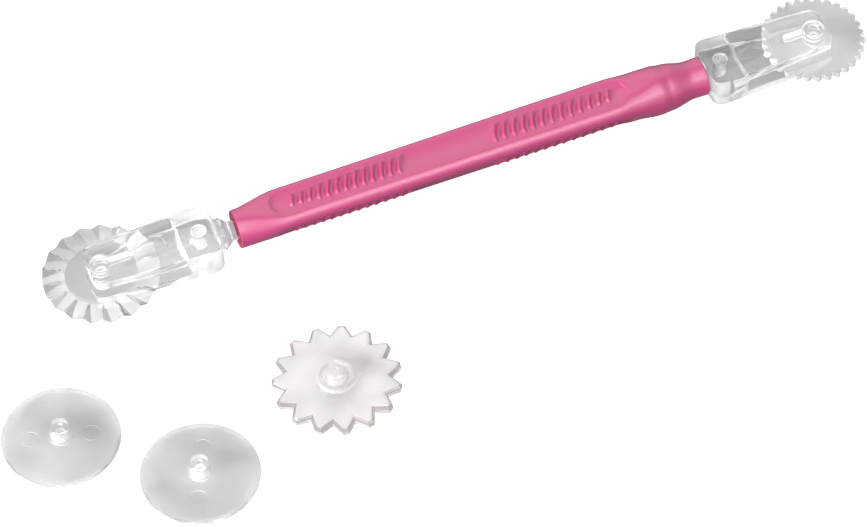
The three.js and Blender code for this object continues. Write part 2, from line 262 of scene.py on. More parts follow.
def shade(obj, angle=32):
    """Smooth shading, with every edge sharper than `angle` kept crisp."""
    weld(obj)
    leftover = obj.data.attributes.get("custom_normal")
    if leftover is not None:
        obj.data.attributes.remove(leftover)
    for polygon in obj.data.polygons:
        polygon.use_smooth = True
    obj.data.set_sharp_from_angle(angle=math.radians(angle))


def arc(cx, cy, radius, start, end, steps):
    """Points along an arc from `start` to `end` degrees."""
    points = []
    for i in range(steps + 1):
        angle = math.radians(lerp(start, end, i / steps))
        points.append((cx + radius * math.cos(angle), cy + radius * math.sin(angle)))
    return points


def settle(obj, origin, turn, body, material, nodes):
    """Puts a shape drawn in millimetres at its place in metres, on its body."""
    turned = Matrix.Rotation(math.radians(turn), 4, "Z")
    obj.data.transform(Matrix.Translation(origin) @ turned @ Matrix.Scale(MM, 4))
    obj.data.update()
    obj.data.materials.clear()
    obj.data.materials.append(material)
    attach(obj, body)
    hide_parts(*nodes)
    return obj


# ------------------------------------------------------------------ materials
def node_tree(name):
    """New material, with its nodes, its links and its main shader."""
    material = bpy.data.materials.new(name)
    material.use_nodes = True
    nodes = material.node_tree.nodes
    return material, nodes, material.node_tree.links, nodes["Principled BSDF"]


def add_noise(nodes, links, scale, detail=3.0, stretch=(1, 1, 1)):
    """Noise fixed to the object, with `scale` patches to the metre."""
    coordinates = nodes.new("ShaderNodeTexCoord")
    mapping = nodes.new("ShaderNodeMapping")
    mapping.inputs["Scale"].default_value = stretch
    noise = nodes.new("ShaderNodeTexNoise")
    noise.inputs["Scale"].default_value = scale
    noise.inputs["Detail"].default_value = detail
    links.new(coordinates.outputs["Object"], mapping.inputs["Vector"])
    links.new(mapping.outputs["Vector"], noise.inputs["Vector"])
    return noise


def add_range(nodes, links, source, low, high):
    """The noise of `source` spread over `low` to `high`."""
    spread = nodes.new("ShaderNodeMapRange")
    spread.inputs["To Min"].default_value = low
    spread.inputs["To Max"].default_value = high
    links.new(source.outputs["Fac"], spread.inputs["Value"])
    return spread


def add_bump(nodes, links, noise, shader, distance, strength):
    """Lets the noise raise and lower the surface by up to `distance`."""
    bump = nodes.new("ShaderNodeBump")
    bump.inputs["Distance"].default_value = distance
    bump.inputs["Strength"].default_value = strength
    links.new(noise.outputs["Fac"], bump.inputs["Height"])
    links.new(bump.outputs["Normal"], shader.inputs["Normal"])


def add_colour_mix(nodes, links, noise, first, second, shader):
    """Base colour that wanders between `first` and `second` with the noise."""
    mix = nodes.new("ShaderNodeMix")
    mix.data_type = "RGBA"
    mix.inputs["A"].default_value = (*first, 1)
    mix.inputs["B"].default_value = (*second, 1)
    links.new(noise.outputs["Fac"], mix.inputs["Factor"])
    links.new(mix.outputs["Result"], shader.inputs["Base Color"])


def pink_rubber(name, first, second, gloss=1.0):
    """Soft-touch moulded sleeve: satin, with a fine spark-eroded grain."""
    material, nodes, links, shader = node_tree(name)
    patches = add_noise(nodes, links, 90)
    add_colour_mix(nodes, links, patches, first, second, shader)
    roughness = add_range(nodes, links, patches, 0.34, 0.42)
    links.new(roughness.outputs["Result"], shader.inputs["Roughness"])
    grain = add_noise(nodes, links, 5200, 2)
    add_bump(nodes, links, grain, shader, 0.00003, 0.6)
    shader.inputs["IOR"].default_value = 1.62
    shader.inputs["Specular IOR Level"].default_value = gloss
    shader.inputs["Subsurface Weight"].default_value = 0.08
    shader.inputs["Subsurface Radius"].default_value = (1.0, 0.25, 0.35)
    shader.inputs["Subsurface Scale"].default_value = 0.0006
    return material


def clear_plastic(name, first, second, roughness, grain, shadow,
                  clearness=1.0, wall_clearness=0.64, clouding=0.0):
    """Clear moulding whose upright walls transmit less light than its flat faces, so they look whiter.

    `roughness` is its lowest and highest value, and `grain` the scale and depth of its fine bumps.
    Lamps shine through it, dimmed to the colour `shadow`. `clearness` is how far it transmits light on
    flat faces and `wall_clearness` on walls, each made uneven by up to `clouding`.
    """
    material, nodes, links, shader = node_tree(name)
    patches = add_noise(nodes, links, 160)
    add_colour_mix(nodes, links, patches, first, second, shader)
    rough_patches = add_range(nodes, links, patches, *roughness)
    grain_scale, grain_depth = grain
    add_bump(nodes, links, add_noise(nodes, links, grain_scale, 2), shader, grain_depth, 0.5)
    geometry = nodes.new("ShaderNodeNewGeometry")
    split = nodes.new("ShaderNodeSeparateXYZ")
    flatness = nodes.new("ShaderNodeMath")
    flatness.operation = "ABSOLUTE"
    links.new(geometry.outputs["Normal"], split.inputs["Vector"])
    links.new(split.outputs["Z"], flatness.inputs[0])
    clear_share = nodes.new("ShaderNodeMapRange")
    clear_share.inputs["From Min"].default_value = 0.1
    clear_share.inputs["From Max"].default_value = 0.35
    clear_share.inputs["To Min"].default_value = wall_clearness
    clear_share.inputs["To Max"].default_value = clearness
    links.new(flatness.outputs["Value"], clear_share.inputs["Value"])
    clouds = add_range(nodes, links, add_noise(nodes, links, 75, 1), clouding, -clouding)
    clouded = nodes.new("ShaderNodeMath")
    clouded.operation = "ADD"
    clouded.use_clamp = True
    links.new(clear_share.outputs["Result"], clouded.inputs[0])
    links.new(clouds.outputs["Result"], clouded.inputs[1])
    links.new(clouded.outputs["Value"], shader.inputs["Transmission Weight"])
    links.new(rough_patches.outputs["Result"], shader.inputs["Roughness"])
    shader.inputs["IOR"].default_value = 1.49
    output = nodes["Material Output"]
    see_through = nodes.new("ShaderNodeBsdfTransparent")
    see_through.inputs["Color"].default_value = (*shadow, 1)
    path = nodes.new("ShaderNodeLightPath")
    mix = nodes.new("ShaderNodeMixShader")
    links.new(path.outputs["Is Shadow Ray"], mix.inputs["Fac"])
    links.new(shader.outputs["BSDF"], mix.inputs[1])
    links.new(see_through.outputs["BSDF"], mix.inputs[2])
    links.new(mix.outputs["Shader"], output.inputs["Surface"])
    return material


def white_core():
    """Natural white moulding, with faint flow marks along it."""
    material, nodes, links, shader = node_tree("white_core")
    flow = add_noise(nodes, links, 60, 2, (0.2, 1, 1))
    add_colour_mix(nodes, links, flow, (0.78, 0.77, 0.74), (0.84, 0.83, 0.80), shader)
    roughness = add_range(nodes, links, flow, 0.4, 0.55)
    links.new(roughness.outputs["Result"], shader.inputs["Roughness"])
    return material


PINK = pink_rubber("soft_pink", (0.52, 0.029, 0.165), (0.57, 0.039, 0.195))
# Darker, less glossy pink for the sleeve's end faces and bore: painted shade.
PINK_PAINTED_SHADE = pink_rubber("soft_pink_painted_shade", (0.22, 0.012, 0.042), (0.26, 0.016, 0.052), gloss=0.10)
CORE = white_core()
CLEAR = clear_plastic("clear_plastic", (0.975, 0.975, 0.98), (0.985, 0.985, 0.99),
                      roughness=(0.02, 0.05), grain=(700, 0.00002), shadow=(0.96, 0.96, 0.965))
# Rougher clear plastic that transmits less and so looks whiter, for the rising pleats and the discs'
# bevels: the whiteness is a painted highlight.
MATT_PAINTED_HIGHLIGHT = clear_plastic("matt_painted_highlight", (0.95, 0.95, 0.955), (0.98, 0.98, 0.985),
                      roughness=(0.12, 0.26), grain=(1400, 0.00004), shadow=(0.96, 0.96, 0.965),
                      clearness=0.86, wall_clearness=0.74, clouding=0.25)
# Darker warm grey for the spur's rounded shoulder: painted shade along its teeth.
SPUR_PAINTED_SHADE = clear_plastic("spur_shoulder_painted_shade", (0.40, 0.355, 0.35), (0.52, 0.475, 0.47),
                          roughness=(0.18, 0.30), grain=(2600, 0.00003), shadow=(0.60, 0.59, 0.585),
                          clearness=0.60, wall_clearness=0.60)
FROSTED = clear_plastic("frosted_plastic", (0.93, 0.93, 0.94), (0.95, 0.95, 0.96),
                        roughness=(0.14, 0.24), grain=(2600, 0.00003), shadow=(0.62, 0.62, 0.625),
                        clearness=0.90, wall_clearness=0.45, clouding=0.16)
WARM = clear_plastic("warm_plastic", (0.84, 0.81, 0.80), (0.97, 0.96, 0.955),
                     roughness=(0.18, 0.30), grain=(2600, 0.00003), shadow=(0.60, 0.59, 0.585),
                     clearness=0.62, wall_clearness=0.45, clouding=0.50)


# ------------------------------------------------------------------ grip
def grip_section(s):
    """How far the corners' centres are from the axis at `s`, and the corners' radius."""
    for (at, reach, rnd), (at2, reach2, rnd2) in zip(GRIP_PROFILE, GRIP_PROFILE[1:]):
        if s <= at2:
            t = smooth(s, at, at2)
            return lerp(reach, reach2, t), lerp(rnd, rnd2, t)
    return GRIP_PROFILE[-1][1:]


def pocket_depth(s, across):
    """How far the dished panel lies under the plain section; both of its ends are rounded."""
    from_start = min(1.0, max(0.0, (s - POCKET["start"]) / POCKET["start_round"]))
    from_end = min(1.0, max(0.0, (POCKET["end"] - s) / POCKET["end_round"]))
    reach = POCKET_REACH * math.sqrt(1 - (1 - from_start) ** 2) * math.sqrt(1 - (1 - from_end) ** 2)
    mask = smooth(reach - abs(across), 0.0, POCKET_SIDE)
    return mask * (POCKET["rim"] + POCKET["dish"] * max(0.0, 1 - (across / DISH_HALF) ** 2))


def rib_wave(phase):
    """A narrow crest at 0, steep behind it, then a slow rise to the next crest."""
    if phase < RIB_STEEP:
        t = 0.5 * phase / RIB_STEEP
    else:
        t = 0.5 + 0.5 * (phase - RIB_STEEP) / (1 - RIB_STEEP)
    return (0.5 + 0.5 * math.cos(2 * math.pi * t)) ** 2.0


def rib_height(s, across):
    """How far the crescent ribs stand up; they get longer from each group's outer end inwards."""
    before_first = 0.6
    for first, pitch, count, short_side in RIB_GROUPS:
        t = (s - RIB_BOW * across * across + RIB_SLANT * across - first) / pitch
        if -before_first < t < count - before_first:
            index = min(count - 1, max(0.0, t))
            from_outer_end = index if short_side < 0 else count - 1 - index
            half = RIB_SHORT + RIB_GAIN * smooth(from_outer_end, 0, RIB_GAIN_OVER)
            side = 1 - smooth(abs(across) / half, 0.5, 1.0)
            return RIB_HEIGHT * side * rib_wave(t - math.floor(t))
    return 0.0


def grip_ring(s, corner_steps=12, face_steps=24):
    """One closed ring of (x, y, z) points; the corners point down, back-up and front-up."""
    reach, rnd = grip_section(s)
    flat_half = reach * math.sin(math.pi / 3)
    flats = [-math.pi / 2 + (corner + 0.5) * 2 * math.pi / 3 for corner in range(3)]

    def lowered(y, z):
        for normal in flats:
            height = y * math.cos(normal) + z * math.sin(normal)
            along = z * math.cos(normal) - y * math.sin(normal)
            across = along / max(flat_half, 0.5)
            limit = reach / 2 + rnd - pocket_depth(s, across)
            if height > limit:
                lift = rib_height(s, across) if abs(across) < 1 else 0.0
                y -= (height - limit - lift) * math.cos(normal)
                z -= (height - limit - lift) * math.sin(normal)
        return s, y, z

    points = []
    for corner in range(3):
        direction = -math.pi / 2 + corner * 2 * math.pi / 3
        for step in range(corner_steps + 1):
            turn = direction + (step / corner_steps - 0.5) * 2 * math.pi / 3
            points.append(lowered(reach * math.cos(direction) + rnd * math.cos(turn),
                                  reach * math.sin(direction) + rnd * math.sin(turn)))
        normal = flats[corner]
        for step in range(1, face_steps):
            along = flat_half * (-1 + 2 * step / face_steps)
            height = reach / 2 + rnd
            points.append(lowered(height * math.cos(normal) - along * math.sin(normal),
                                  height * math.sin(normal) + along * math.cos(normal)))
    return points


def skin(rings, close=False):
    """Faces between rings of equal length, as vertices and faces."""
    count = len(rings[0])
    vertices = [p for ring in rings for p in ring]
    pairs = list(zip(range(len(rings) - 1), range(1, len(rings))))
    if close:
        pairs.append((len(rings) - 1, 0))
    faces = []
    for a, b in pairs:
        for i in range(count):
            j = (i + 1) % count
            faces.append((a * count + i, a * count + j, b * count + j, b * count + i))
    return vertices, faces


def capped(name, rings):
    """Solid through `rings`, closed by its first and its last one."""
    vertices, faces = skin(rings)
    count = len(rings[0])
    last = len(vertices) - count
    faces.append(tuple(reversed(range(count))))
    faces.append(tuple(range(last, last + count)))
    return new_object(name, vertices, faces)


def inset_ring(ring, amount):
    """The ring drawn in towards the axis."""
    made = []
    for x, y, z in ring:
        far = math.hypot(y, z)
        made.append((x, y * (far - amount) / far, z * (far - amount) / far))
    return made


def bore(ring, s, radius):
    """Round ring at `s`, with a point behind each point of `ring`."""
    return [(s, radius * y / math.hypot(y, z), radius * z / math.hypot(y, z)) for _, y, z in ring]


def make_grip():
    """Sleeve with rounded ends and a small lip at each end of its bore."""
    length = GRIP_PROFILE[-1][0]
    plain = length - 2 * GRIP_END_ROUND
    turns = [i * math.pi / 8 for i in (1, 2, 3)]
    rounding = [GRIP_END_ROUND * (1 - math.cos(turn)) for turn in turns]
    spaced = int(plain / GRIP_RING_SPACING)
    stations = rounding + [GRIP_END_ROUND + plain * i / spaced for i in range(spaced + 1)]
    stations += [length - s for s in reversed(rounding)]
    rings = [grip_ring(s) for s in stations]
    for i, turn in enumerate(turns):
        amount = GRIP_END_ROUND * (1 - math.sin(turn))
        rings[i] = inset_ring(rings[i], amount)
        rings[-1 - i] = inset_ring(rings[-1 - i], amount)
    last_inset = 0.05
    start = [(0.0, y, z) for _, y, z in inset_ring(rings[0], last_inset)]
    end = [(length, y, z) for _, y, z in inset_ring(rings[-1], last_inset)]
    loop = [start, *rings, end,
            bore(end, length, MOUTH_RADIUS), bore(end, length - LIP_LENGTH, MOUTH_RADIUS),
            bore(end, length - LIP_LENGTH, BORE_RADIUS), bore(start, LIP_LENGTH, BORE_RADIUS),
            bore(start, LIP_LENGTH, MOUTH_RADIUS), bore(start, 0.0, MOUTH_RADIUS)]
    vertices, faces = skin(loop, close=True)
    sleeve = new_object("grip_sleeve", vertices, faces)
    shade(sleeve, 60)
    return sleeve


def paint(obj, material, chosen):
    """Gives `material` to the faces for which `chosen` is true."""
    obj.data.materials.append(material)
    for polygon in obj.data.polygons:
        if chosen(polygon):
            polygon.material_index = 1


# ------------------------------------------------------------------ forks, shanks and pins
def fork_half_width(u):
    """Half the fork's width at `u` from the axle."""
    t = (u + FORK_TIP) / (FORK_LENGTH + FORK_TIP)
    return lerp(FORK_TIP_WIDTH, FORK_END_WIDTH, t) / 2


def rounded(points, radii, steps=9):
    """Outline with each corner replaced by a smooth bend."""
    made = []
    count = len(points)
    for i, (x, y) in enumerate(points):
        before = Vector(points[i - 1])
        after = Vector(points[(i + 1) % count])
        here = Vector((x, y))
        radius = radii[i]
        a = here + (before - here).normalized() * radius
        b = here + (after - here).normalized() * radius
        for k in range(steps + 1):
            t = k / steps
            p = a * (1 - t) ** 2 + here * (2 * t * (1 - t)) + b * t * t
            made.append((p.x, p.y))
    return made


def make_fork(name):
    """Clear fork about its axle: gap, hub hole with entry slot, lower pin, cross-pin hole and a mark."""
    tip = fork_half_width(-FORK_TIP)
    end = fork_half_width(FORK_LENGTH)
    corners = [(-FORK_TIP, -tip), (FORK_LENGTH, -end), (FORK_LENGTH, end), (-FORK_TIP, tip)]
    outline = rounded(corners, [FORK_TIP_BEND, FORK_END_BEND, FORK_END_BEND, FORK_TIP_BEND])
    body = prism(name, outline, 0, FORK_THICKNESS)
    soften(body, EDGE_ROUND, 4, 60)
    middle_height = FORK_THICKNESS / 2
    gap_half = FORK_GAP / 2
    gap_open = -FORK_TIP - 2 * PAST
    gap_side = [(gap_open, -gap_half),
                *arc(FORK_WALL - GAP_CORNER, GAP_CORNER - gap_half, GAP_CORNER, -90, 0, 6),
                *arc(FORK_WALL - GAP_CORNER, gap_half - GAP_CORNER, GAP_CORNER, 0, 90, 6),
                (gap_open, gap_half)]
    gap = prism("cutter", gap_side, -FORK_END_WIDTH, FORK_END_WIDTH)
    gap.data.transform(Matrix.Translation((0, 0, middle_height)) @ Matrix.Rotation(math.pi / 2, 4, "X"))
    combine(body, gap)
    top = FORK_THICKNESS + PAST
    combine(body, post(HOLE_RADIUS, middle_height, top))
    slot_half = SLOT_WIDTH / 2
    slot = rounded([(0, -slot_half), (SLOT_END, -slot_half), (SLOT_END, slot_half), (0, slot_half)],
                   [0.05, slot_half * 0.98, slot_half * 0.98, 0.05])
    combine(body, prism("cutter", slot, middle_height, top))
    combine(body, post(PIN_RADIUS + PIN_CLEARANCE, -PAST, top, PIN_AT))
    combine(body, post(FORK_MARK["radius"], FORK_THICKNESS - FORK_MARK["depth"], top, FORK_MARK["at"]))
    lower_pin = post(LOWER_PIN_RADIUS, ARM - LOWER_PIN_ROOT, ARM + LOWER_PIN_HEIGHT, sides=32)
    combine(body, lower_pin, "UNION")
    soften(body, CUT_ROUND, 2, 50)
    return body


def along_x(obj, height):
    """Lays a shape turned about Z along X, at `height`."""
    turn = Matrix.Translation((0, 0, height)) @ Matrix.Rotation(math.pi / 2, 4, "Y")
    obj.data.transform(turn)
    return obj


def make_shank(name, to_grip):
    """Collar, cone and stem up to the grip and the plug in it; only the stem where the grip is close."""
    start = FORK_LENGTH + SHANK_GAP
    collar_end = min(start + COLLAR_LENGTH, to_grip - 0.1)
    cone_end = min(collar_end + CONE_LENGTH, to_grip)
    plug_start = to_grip + PLUG_START
    plug_end = plug_start + PLUG_LENGTH
    has_collar = to_grip - start > 1
    first = COLLAR_RADIUS if has_collar else STEM_RADIUS
    profile = [(0, start), (first - 0.15, start), (first, start + 0.15)]
    if has_collar:
        profile += [(COLLAR_RADIUS, collar_end - 0.2), (COLLAR_RADIUS - 0.2, collar_end),
                    (CONE_RADIUS, cone_end)]
    profile += [(STEM_RADIUS, cone_end + 0.3), (STEM_RADIUS, plug_start - 0.1), (PLUG_RADIUS, plug_start),
                (PLUG_RADIUS, plug_end - 0.2), (PLUG_RADIUS - 0.2, plug_end), (0, plug_end)]
    body = lathe(name, profile, 64)
    along_x(body, FORK_THICKNESS / 2)
    shade(body)
    return body


def make_cross_pin(name):
    """Upright pin with rounded edges and a dimple in its top."""
    r = PIN_RADIUS
    low = PIN_INSET
    high = FORK_THICKNESS - PIN_INSET
    body = lathe(name, [(0, low), (r - 0.4, low), (r - 0.12, low + 0.12), (r, low + 0.4),
                        (r, high - 0.4), (r - 0.12, high - 0.12), (r - 0.4, high),
                        (0.9, high), (0.7, high - 0.35), (0, high - 0.4)], 64)
    body.data.transform(Matrix.Translation((PIN_AT, 0, 0)))
    shade(body)
    return body


# ------------------------------------------------------------------ wheels
def hub_profile(side_height, boss_top=HUB_BOSS_TOP, dimple=0.75):
    """From the wheel's upper face up the boss and the stub, and in to the dimple in its top."""
    return [
        (HUB_BOSS + 0.25, side_height), (HUB_BOSS + 0.07, side_height + 0.08),
        (HUB_BOSS, side_height + 0.25),
        (HUB_BOSS, boss_top - 0.15), (HUB_BOSS - 0.15, boss_top), (HUB_STUB + 0.08, boss_top),
        (HUB_STUB, boss_top + 0.08), (HUB_STUB, HUB_TOP - 0.42), (HUB_STUB - 0.06, HUB_TOP - 0.28),
        (HUB_STUB - 0.28, HUB_TOP - 0.06), (HUB_STUB - 0.42, HUB_TOP), (dimple + 0.12, HUB_TOP),
        (dimple, HUB_TOP - 0.1), (dimple - 0.15, HUB_TOP - 0.45), (0, HUB_TOP - 0.5),
    ]


def socket_profile():
    """The blind socket under the hub, from its end on the axis out to its mouth."""
    return [(0, HUB_SOCKET_DEPTH), (HUB_SOCKET - 0.1, HUB_SOCKET_DEPTH),
            (HUB_SOCKET, HUB_SOCKET_DEPTH - 0.1), (HUB_SOCKET, 0.1), (HUB_SOCKET + 0.1, 0)]


def make_plain_wheel(name, mark_angles):
    """Plain disc with a bevelled rim, a hub and a round moulding mark at each angle."""
    edge = 0.5
    edge_round = 0.12
    low = (DISC_THICKNESS - edge) / 2
    high = low + edge
    bevel_start = PLAIN_RADIUS - DISC_BEVEL
    profile = socket_profile() + [
        (bevel_start - 0.1, 0), (bevel_start + 0.05, 0.03),
        (PLAIN_RADIUS - edge_round, low), (PLAIN_RADIUS, low + edge_round),
        (PLAIN_RADIUS, high - edge_round), (PLAIN_RADIUS - edge_round, high),
        (bevel_start + 0.05, DISC_THICKNESS - 0.03), (bevel_start - 0.1, DISC_THICKNESS),
    ] + hub_profile(DISC_THICKNESS, DISC_THICKNESS + 0.7)
    body = lathe(name, profile, 144)
    for angle in mark_angles:
        x, y = polar(DISC_MARK["at"], math.radians(angle))
        mark = post(DISC_MARK["radius"], DISC_THICKNESS - DISC_MARK["depth"], DISC_THICKNESS + PAST, x, y)
        combine(body, mark)
    shade(body, 8)
    return body


def add_hub(body, dimple):
    """Joins the hub to a toothed wheel and cuts the socket under it."""
    profile = [(0, 0.02), (HUB_BOSS, 0.02)] + hub_profile(1.0, dimple=dimple)[2:]
    combine(body, lathe("hub", profile, 72), "UNION")
    combine(body, post(HUB_SOCKET, -PAST, HUB_SOCKET_DEPTH))


def make_crimp_wheel(name):
    """Wheel whose plate thins towards a pleated rim.

    A pleat goes down over one part of its width and up over the rest; the first part narrows inwards.
    """
    folds = 18
    per_fold = 8
    middle_height = HUB_BOSS_TOP / 2
    plate = 2.0
    fold = 1.5
    widest_fall = 0.42
    least_share = 0.08
    narrowing = 0.7
    lip = 0.1
    radii = [0.6, 4, 8, PLEAT_START - 0.1, PLEAT_START, PLEAT_START + 1, 11.5, 13, 14.2,
             CRIMP_RADIUS - lip, CRIMP_RADIUS]

    def face_ring(side, radius):
        share = max(0.0, (radius - PLEAT_START) / (CRIMP_RADIUS - PLEAT_START))
        falling = widest_fall * max(least_share, share) ** narrowing
        thickness = plate - fold * share - (2 * lip if radius == CRIMP_RADIUS else 0)
        points = []
        for i in range(folds * per_fold):
            step = 2 * (i % per_fold) / per_fold
            down = min(step, 1.0)
            up = max(0.0, step - 1.0)
            turn = 2 * math.pi * (i // per_fold + 0.25 + falling * down + (1 - falling) * up) / folds
            height = middle_height + side * thickness / 2 + fold * share * (0.5 - down + up)
            points.append((radius * math.cos(turn), radius * math.sin(turn), height))
        return points

    under = [face_ring(-1, radius) for radius in radii]
    over = [face_ring(1, radius) for radius in reversed(radii)]
    body = capped(name, under + over)
    add_hub(body, 1.5)
    shade(body, 10)
    return body


def tooth_outline(teeth, tooth):
    """Anticlockwise outline of `teeth` teeth; `tooth` gives one from its angle and the pitch."""
    points = []
    for i in range(teeth):
        points += tooth(2 * math.pi * i / teeth, 2 * math.pi / teeth)
    return points


def make_stitch_wheel(name):
    """Flat wheel with fine rounded teeth."""
    teeth = 30
    depth = 1.4
    per_tooth = 12

    def tooth(angle, pitch):
        made = []
        for k in range(per_tooth):
            t = k / per_tooth - 0.5
            under_tip = depth * (1 - math.cos(math.pi * t) ** 0.9)
            made.append(polar(STITCH_RADIUS - under_tip, angle + pitch * t))
        return made

    thickness = 2.0
    low = (HUB_BOSS_TOP - thickness) / 2
    body = prism(name, tooth_outline(teeth, tooth), low, low + thickness)
    soften(body, CUT_ROUND, 2, 60)
    add_hub(body, 1.5)
    shade(body, 30)
    return body


def inset_outline(outline, amount):
    """The anticlockwise outline moved inwards, with its corners kept."""
    made = []
    count = len(outline)
    for i in range(count):
        here = Vector(outline[i])
        arriving = (here - Vector(outline[i - 1])).normalized()
        leaving = (Vector(outline[(i + 1) % count]) - here).normalized()
        inward = Vector((-arriving.y, arriving.x))
        mitre = (inward + Vector((-leaving.y, leaving.x))).normalized()
        made.append(here + mitre * amount / mitre.dot(inward))
    return made


def make_spur_wheel(name):
    """Wheel with coarse pointed teeth, a rounded shoulder along them and a raised collar."""
    teeth = 15
    tooth_depth = 2.8
    root = SPUR_RADIUS - tooth_depth
    tip_half = 0.85 / SPUR_RADIUS    # as an angle

    def tooth(angle, pitch):
        return [polar(root, angle - pitch / 2), polar(SPUR_RADIUS, angle - tip_half),
                polar(SPUR_RADIUS, angle + tip_half)]

    thickness = 2.4
    rise = 3.7
    outline = tooth_outline(teeth, tooth)
    layers = [(0.25, 0), (0, 0.25), (0, thickness - 1), (0.25, thickness - 0.55),
              (0.7, thickness - 0.15), (1.3, thickness)]
    body = capped(name, [[(x, y, height) for x, y in inset_outline(outline, amount)]
                         for amount, height in layers])
    collar = lathe("collar", [
        (0, 1), (5.1, 1), (5.1, thickness + 0.2), (4.95, rise - 0.25), (4.8, rise - 0.06), (4.6, rise),
        (4.35, rise), (4.15, rise - 0.08), (3.7, thickness + 0.1), (3.5, thickness - 0.05),
        (0, thickness - 0.05),
    ])
    combine(body, collar, "UNION")
    add_hub(body, 0.6)
    shade(body, 12)
    return body


# ------------------------------------------------------------------ put everything in place
joint_at = {joint["name"]: Vector(joint["pos_m"]) for joint in frame["joints"] if "pos_m" in joint}
left_axle = joint_at["crimp_wheel_spin"].copy()
right_axle = joint_at["stitch_wheel_spin"].copy()
fork_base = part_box("fork_left")[0].z
left_axle.z = fork_base
right_axle.z = fork_base
wheel_rise = Vector((0, 0, WHEEL_LIFT * MM))
grip_low, grip_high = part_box("grip")
grip_start = Vector((grip_low.x, left_axle.y, joint_at["crimp_wheel_spin"].z))
left_to_grip = (grip_low.x - left_axle.x) / MM
right_to_grip = (right_axle.x - grip_high.x) / MM

grip = settle(make_grip(), grip_start, 0, "handle", PINK, ["grip"])


def is_painted_shade_end(polygon):
    """True on the sleeve's end faces and inside its bore, which get the darker pink as painted shade."""
    from_axis = Vector((polygon.center.y - grip_start.y, polygon.center.z - grip_start.z))
    faces_along = 0.95
    bore_limit = (BORE_RADIUS + 0.1) * MM
    return abs(polygon.normal.x) > faces_along or from_axis.length < bore_limit


# Painted shade: the end faces and bore get the darker pink.
paint(grip, PINK_PAINTED_SHADE, is_painted_shade_end)


def settle_clear(shape, axle, turn, node):
    """Puts one clear part of the handle at the axle of its end."""
    settle(shape, axle, turn, "handle", CLEAR, [node])


settle_clear(make_fork("clear_fork_left"), left_axle, 0, "fork_left")
settle_clear(make_fork("clear_fork_right"), right_axle, 180, "fork_right")
settle_clear(make_shank("clear_shank_left", left_to_grip), left_axle, 0, "shank_left")
settle_clear(make_shank("clear_shank_right", right_to_grip), right_axle, 180, "shank_right")
settle_clear(make_cross_pin("clear_pin_left"), left_axle, 0, "cross_pin_left")
settle_clear(make_cross_pin("clear_pin_right"), right_axle, 180, "cross_pin_right")
pleats = settle(make_crimp_wheel("pleated_wheel"), left_axle + wheel_rise, CRIMP_TURN, "crimp_wheel",
                CLEAR, ["crimp_wheel"])
pleat_centre = Vector((left_axle.x, left_axle.y, 0))


def is_rising_pleat(polygon):
    """True on the pleats' facets that go up anticlockwise, which get the whiter matt plastic as a painted
    highlight.
    """
    arm = polygon.center - pleat_centre
    arm.z = 0
    tangent = Vector((-arm.y, arm.x, 0)).normalized()
    slope = polygon.normal.dot(tangent) * math.copysign(1, polygon.normal.z)
    level = 0.04
    return arm.length > PLEAT_START * MM and slope < -level


# Painted highlight: the rising pleats get the whiter matt plastic.
paint(pleats, MATT_PAINTED_HIGHLIGHT, is_rising_pleat)
settle(make_stitch_wheel("pricking_wheel"), right_axle + wheel_rise, 180, "stitch_wheel",
       FROSTED, ["stitch_wheel"])


def spare_origin(node):
    """Where a loose wheel's axle meets the table."""
    low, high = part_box(node)
    return Vector(((low.x + high.x) / 2, (low.y + high.y) / 2, low.z))


def add_disc(name, mark_angles, node):
    """Plain disc whose bevelled rim gets the whiter matt plastic as a painted highlight."""
    origin = spare_origin(node)
    disc = settle(make_plain_wheel(name, mark_angles), origin, 0, node, FROSTED, [node])
    rim = (PLAIN_RADIUS - DISC_BEVEL - 0.15) * MM
    level = 0.999

    def is_bevel(polygon):
        return (polygon.center - origin).xy.length > rim and abs(polygon.normal.z) < level

    # Painted highlight: the bevel gets the whiter matt plastic.
    paint(disc, MATT_PAINTED_HIGHLIGHT, is_bevel)


add_disc("plain_disc_1", [165, -15], "spare_plain_wheel_1")
add_disc("plain_disc_2", [-113, 67], "spare_plain_wheel_2")
spur_centre = spare_origin("spare_spur_wheel")
spur = settle(make_spur_wheel("spur_disc"), spur_centre, SPUR_TURN, "spare_spur_wheel",
              WARM, ["spare_spur_wheel"])


def is_spur_shoulder(polygon):
    """True on the rounded shoulder along the spur's teeth, which gets the darker grey as painted shade.
    """
    steepest = 0.3
    flattest = 0.95
    from_axle = (polygon.center - spur_centre).xy.length
    return from_axle > SPUR_SHOULDER * MM and steepest < polygon.normal.z < flattest


# Painted shade: the shoulder gets the darker grey.
paint(spur, SPUR_PAINTED_SHADE, is_spur_shoulder)

core = frame["nodes"]["grip_core"]
core.data.materials.clear()
core.data.materials.append(CORE)


# ------------------------------------------------------------------ floor, light and camera
FLOOR_SEEN = (0.93, 0.93, 0.93, 1)         # to the camera
FLOOR_MIRRORED = (0.37, 0.37, 0.38, 1)     # to mirrored and refracted rays
FLOOR_DIFFUSE = (0.12, 0.12, 0.12, 1)      # as bounced light
FLOOR_GLOW = 0.7
WORLD_CLEAR = 1.35                         # to mirrored and refracted rays
WORLD_DIFFUSE = 0.30


